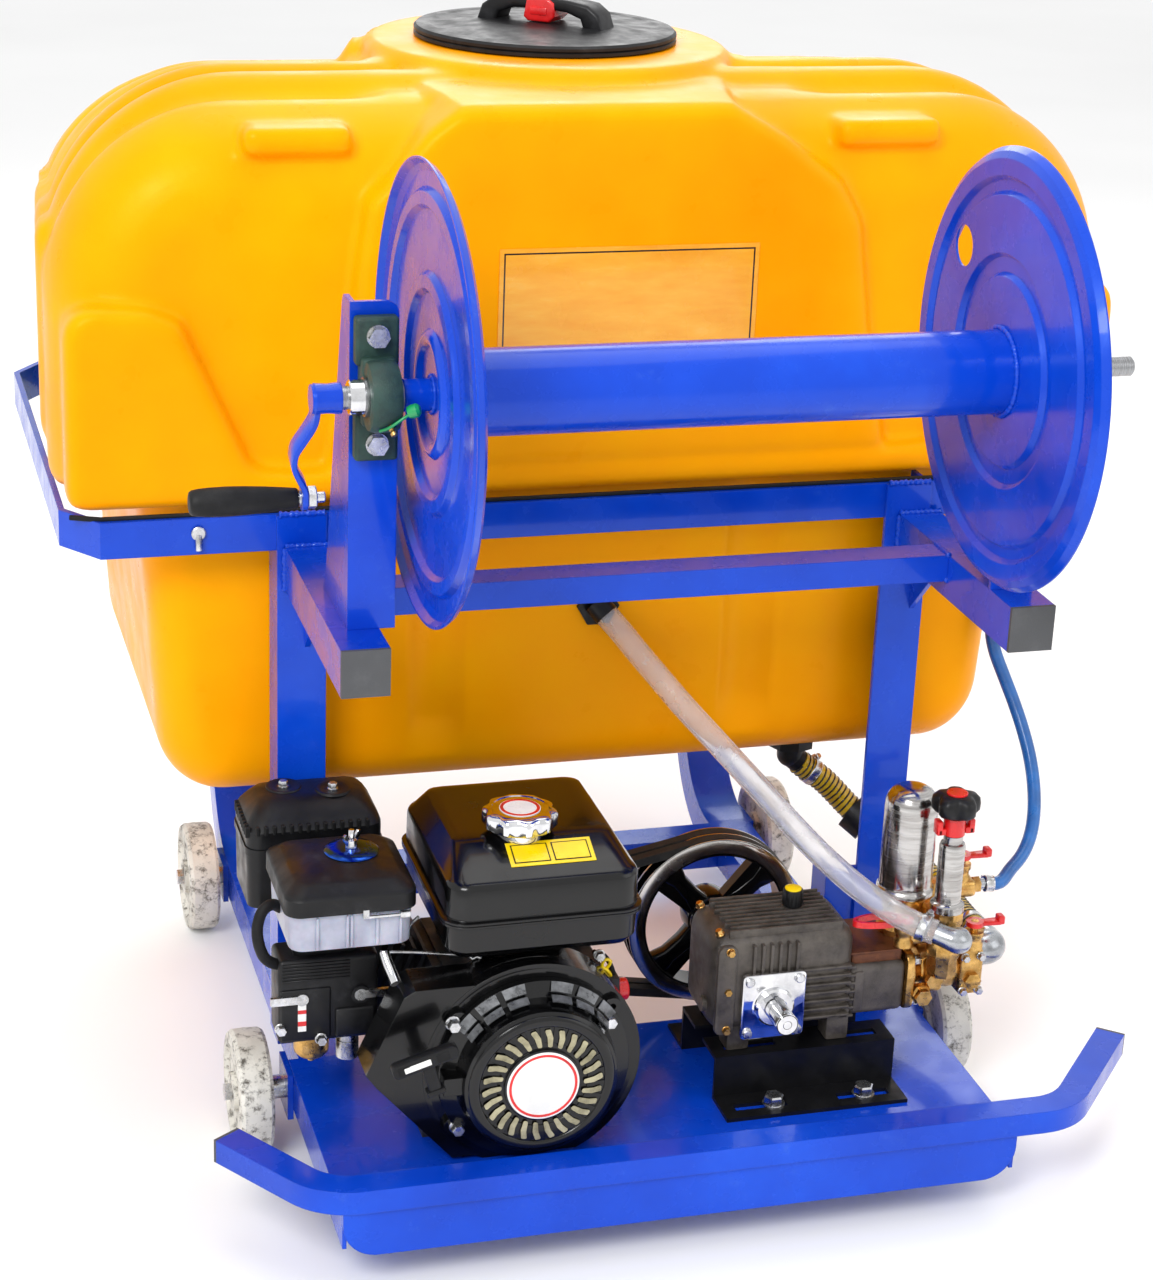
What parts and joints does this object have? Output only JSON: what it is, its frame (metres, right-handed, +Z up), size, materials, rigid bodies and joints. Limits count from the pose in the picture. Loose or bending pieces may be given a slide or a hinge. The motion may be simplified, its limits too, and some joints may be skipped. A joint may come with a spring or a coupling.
{
  "type": "wheeled sprayer cart",
  "caption": "Wheeled orchard sprayer cart: plastic tank in a steel frame, hose reel with crank, petrol engine and belt-driven plunger pump.",
  "frame": {"origin": "on the ground, under the middle of the object's box", "axes": "+X to the right as seen from the tray side, +Y from the tray to the back of the tank, +Z up"},
  "size_m": [1.12, 1.083, 1.0953],
  "materials": {
    "frame_paint": "glossy blue enamel over welded steel",
    "tank_plastic": "satin rotationally moulded polyethylene",
    "black_plastic": "satin black moulded plastic",
    "grey_plastic": "matte grey end caps",
    "grip_rubber": "matte black grip",
    "wheel_polymer": "worn off-white polymer",
    "zinc_steel": "zinc plated steel",
    "chrome": "polished chrome",
    "bearing_cast": "dark green cast housing",
    "label": "blank label panel with a dark border",
    "clear_hose": "clear flexible PVC",
    "spiral_hose": "yellow hose with a black spiral",
    "blue_hose": "blue PVC hose",
    "engine_black": "gloss black engine covers",
    "engine_alloy": "dark cast aluminium",
    "filter_base": "pale translucent plastic",
    "signal_red": "gloss red",
    "belt_rubber": "ribbed black belt",
    "pump_cast": "dark grey cast alloy",
    "brass": "sand cast and machined brass",
    "black_knob": "gloss black"
  },
  "bodies": {
    "root": {"rails": "frame_paint", "rear_crosstube": "frame_paint", "tray": "frame_paint", "bumper": "frame_paint", "tube_caps": "grey_plastic", "axle_plates": "frame_paint", "wheel_axles": "zinc_steel", "posts": "frame_paint", "reel_arms": "frame_paint", "crossbeam": "frame_paint", "waist_band": "frame_paint", "reel_brackets": "frame_paint", "bearing_housings": "bearing_cast", "bearing_bolts": "zinc_steel", "tank": "tank_plastic", "label_plate": "label", "tank_fittings": "black_plastic", "hose_clamps": "zinc_steel", "return_hose": "clear_hose", "suction_hose": "spiral_hose", "bypass_hose": "blue_hose", "engine_block": "engine_alloy", "fan_cover": "engine_black", "starter_cover": "engine_black", "fuel_tank": "engine_black", "air_cleaner_base": "filter_base", "air_cleaner_cover": "black_plastic", "muffler": "black_plastic", "carburettor": "black_plastic", "drive_belt": "belt_rubber", "pump_base": "black_knob", "pump_crankcase": "pump_cast", "pump_cylinder": "pump_cast", "pump_manifold": "brass", "air_chamber": "chrome", "regulator": "chrome"},
    "wheel_front_left_body": {"wheel_front_left": "wheel_polymer"},
    "wheel_front_right_body": {"wheel_front_right": "wheel_polymer"},
    "wheel_rear_left_body": {"wheel_rear_left": "wheel_polymer"},
    "wheel_rear_right_body": {"wheel_rear_right": "wheel_polymer"},
    "reel": {"reel_shaft": "zinc_steel", "reel_drum": "frame_paint", "disc_left": "frame_paint", "disc_right": "frame_paint", "crank_arm": "frame_paint"},
    "grip": {"crank_grip": "grip_rubber"},
    "lid": {"tank_lid": "black_plastic"},
    "fuel_filler": {"fuel_cap": "chrome"},
    "oil_filler": {"oil_cap": "black_plastic"},
    "pull_handle": {"starter_handle": "black_plastic"},
    "engine_shaft": {"engine_pulley": "zinc_steel"},
    "pump_shaft": {"pump_pulley": "pump_cast"},
    "pressure_knob": {"regulator_knob": "black_knob"},
    "pressure_lever": {"regulator_lever": "signal_red"},
    "delivery_valve": {"delivery_lever": "signal_red"},
    "bypass_valve": {"bypass_lever": "signal_red"},
    "drain_valve": {"drain_lever": "signal_red"},
    "stop_switch": {"engine_switch": "signal_red"},
    "choke": {"choke_lever": "zinc_steel"},
    "throttle": {"throttle_lever": "zinc_steel"}
  },
  "joints": [
    {"name": "wheel_front_left_spin", "type": "hinge", "parent": "root", "child": "wheel_front_left_body", "pos_m": [-0.373, -0.12535, 0.0625], "axis": [1, 0, 0], "continuous": true},
    {"name": "wheel_front_right_spin", "type": "hinge", "parent": "root", "child": "wheel_front_right_body", "pos_m": [0.373, -0.12535, 0.0625], "axis": [1, 0, 0], "continuous": true},
    {"name": "wheel_rear_left_spin", "type": "hinge", "parent": "root", "child": "wheel_rear_left_body", "pos_m": [-0.351, 0.37165, 0.0625], "axis": [1, 0, 0], "continuous": true},
    {"name": "wheel_rear_right_spin", "type": "hinge", "parent": "root", "child": "wheel_rear_right_body", "pos_m": [0.351, 0.37165, 0.0625], "axis": [1, 0, 0], "continuous": true},
    {"name": "reel_spin", "type": "hinge", "parent": "root", "child": "reel", "pos_m": [0, -0.34165, 0.846], "axis": [1, 0, 0], "continuous": true},
    {"name": "grip_spin", "type": "hinge", "parent": "reel", "child": "grip", "pos_m": [-0.4, -0.30574, 0.74733], "axis": [1, 0, 0], "continuous": true},
    {"name": "lid_lift", "type": "slide", "parent": "root", "child": "lid", "axis": [0, 0, 1], "range_m": [0, 0.08]},
    {"name": "fuel_cap_lift", "type": "slide", "parent": "root", "child": "fuel_filler", "axis": [0, 0, 1], "range_m": [0, 0.05]},
    {"name": "oil_cap_lift", "type": "slide", "parent": "root", "child": "oil_filler", "axis": [0, 0, 1], "range_m": [0, 0.03]},
    {"name": "starter_pull", "type": "slide", "parent": "root", "child": "pull_handle", "axis": [-0.3004, -0.7409, 0.6007], "range_m": [0, 0.3]},
    {"name": "engine_spin", "type": "hinge", "parent": "root", "child": "engine_shaft", "pos_m": [-0.138, -0.08435, 0.184], "axis": [0, 1, 0], "continuous": true},
    {"name": "pump_spin", "type": "hinge", "parent": "root", "child": "pump_shaft", "pos_m": [0.122, -0.08435, 0.19], "axis": [0, 1, 0], "continuous": true},
    {"name": "pressure_knob_turn", "type": "hinge", "parent": "root", "child": "pressure_knob", "pos_m": [0.304, -0.27435, 0.388], "axis": [0, 0, 1], "range_deg": [0, 720]},
    {"name": "pressure_lever_turn", "type": "hinge", "parent": "root", "child": "pressure_lever", "pos_m": [0.304, -0.27435, 0.364], "axis": [0, 0, 1], "range_deg": [0, 90]},
    {"name": "delivery_valve_turn", "type": "hinge", "parent": "root", "child": "delivery_valve", "pos_m": [0.264, -0.26635, 0.26], "axis": [0, 0, 1], "range_deg": [-60, 0]},
    {"name": "bypass_valve_turn", "type": "hinge", "parent": "root", "child": "bypass_valve", "pos_m": [0.348, -0.20535, 0.294], "axis": [0, 0, 1], "range_deg": [0, 90]},
    {"name": "drain_valve_turn", "type": "hinge", "parent": "root", "child": "drain_valve", "pos_m": [0.344, -0.25835, 0.244], "axis": [0, 0, 1], "range_deg": [-90, 0]},
    {"name": "stop_switch_turn", "type": "hinge", "parent": "root", "child": "stop_switch", "pos_m": [-0.04, -0.28035, 0.222], "axis": [1, 0, 0], "range_deg": [0, 60]},
    {"name": "choke_turn", "type": "hinge", "parent": "root", "child": "choke", "pos_m": [-0.346, -0.27235, 0.24], "axis": [0, 1, 0], "range_deg": [-35, 35]},
    {"name": "throttle_turn", "type": "hinge", "parent": "root", "child": "throttle", "pos_m": [-0.29, -0.27235, 0.24], "axis": [0, 1, 0], "range_deg": [-25, 35]}
  ],
  "couplings": [
    {"joint": "engine_spin", "follows": "pump_spin", "ratio": 2.0667}
  ]
}
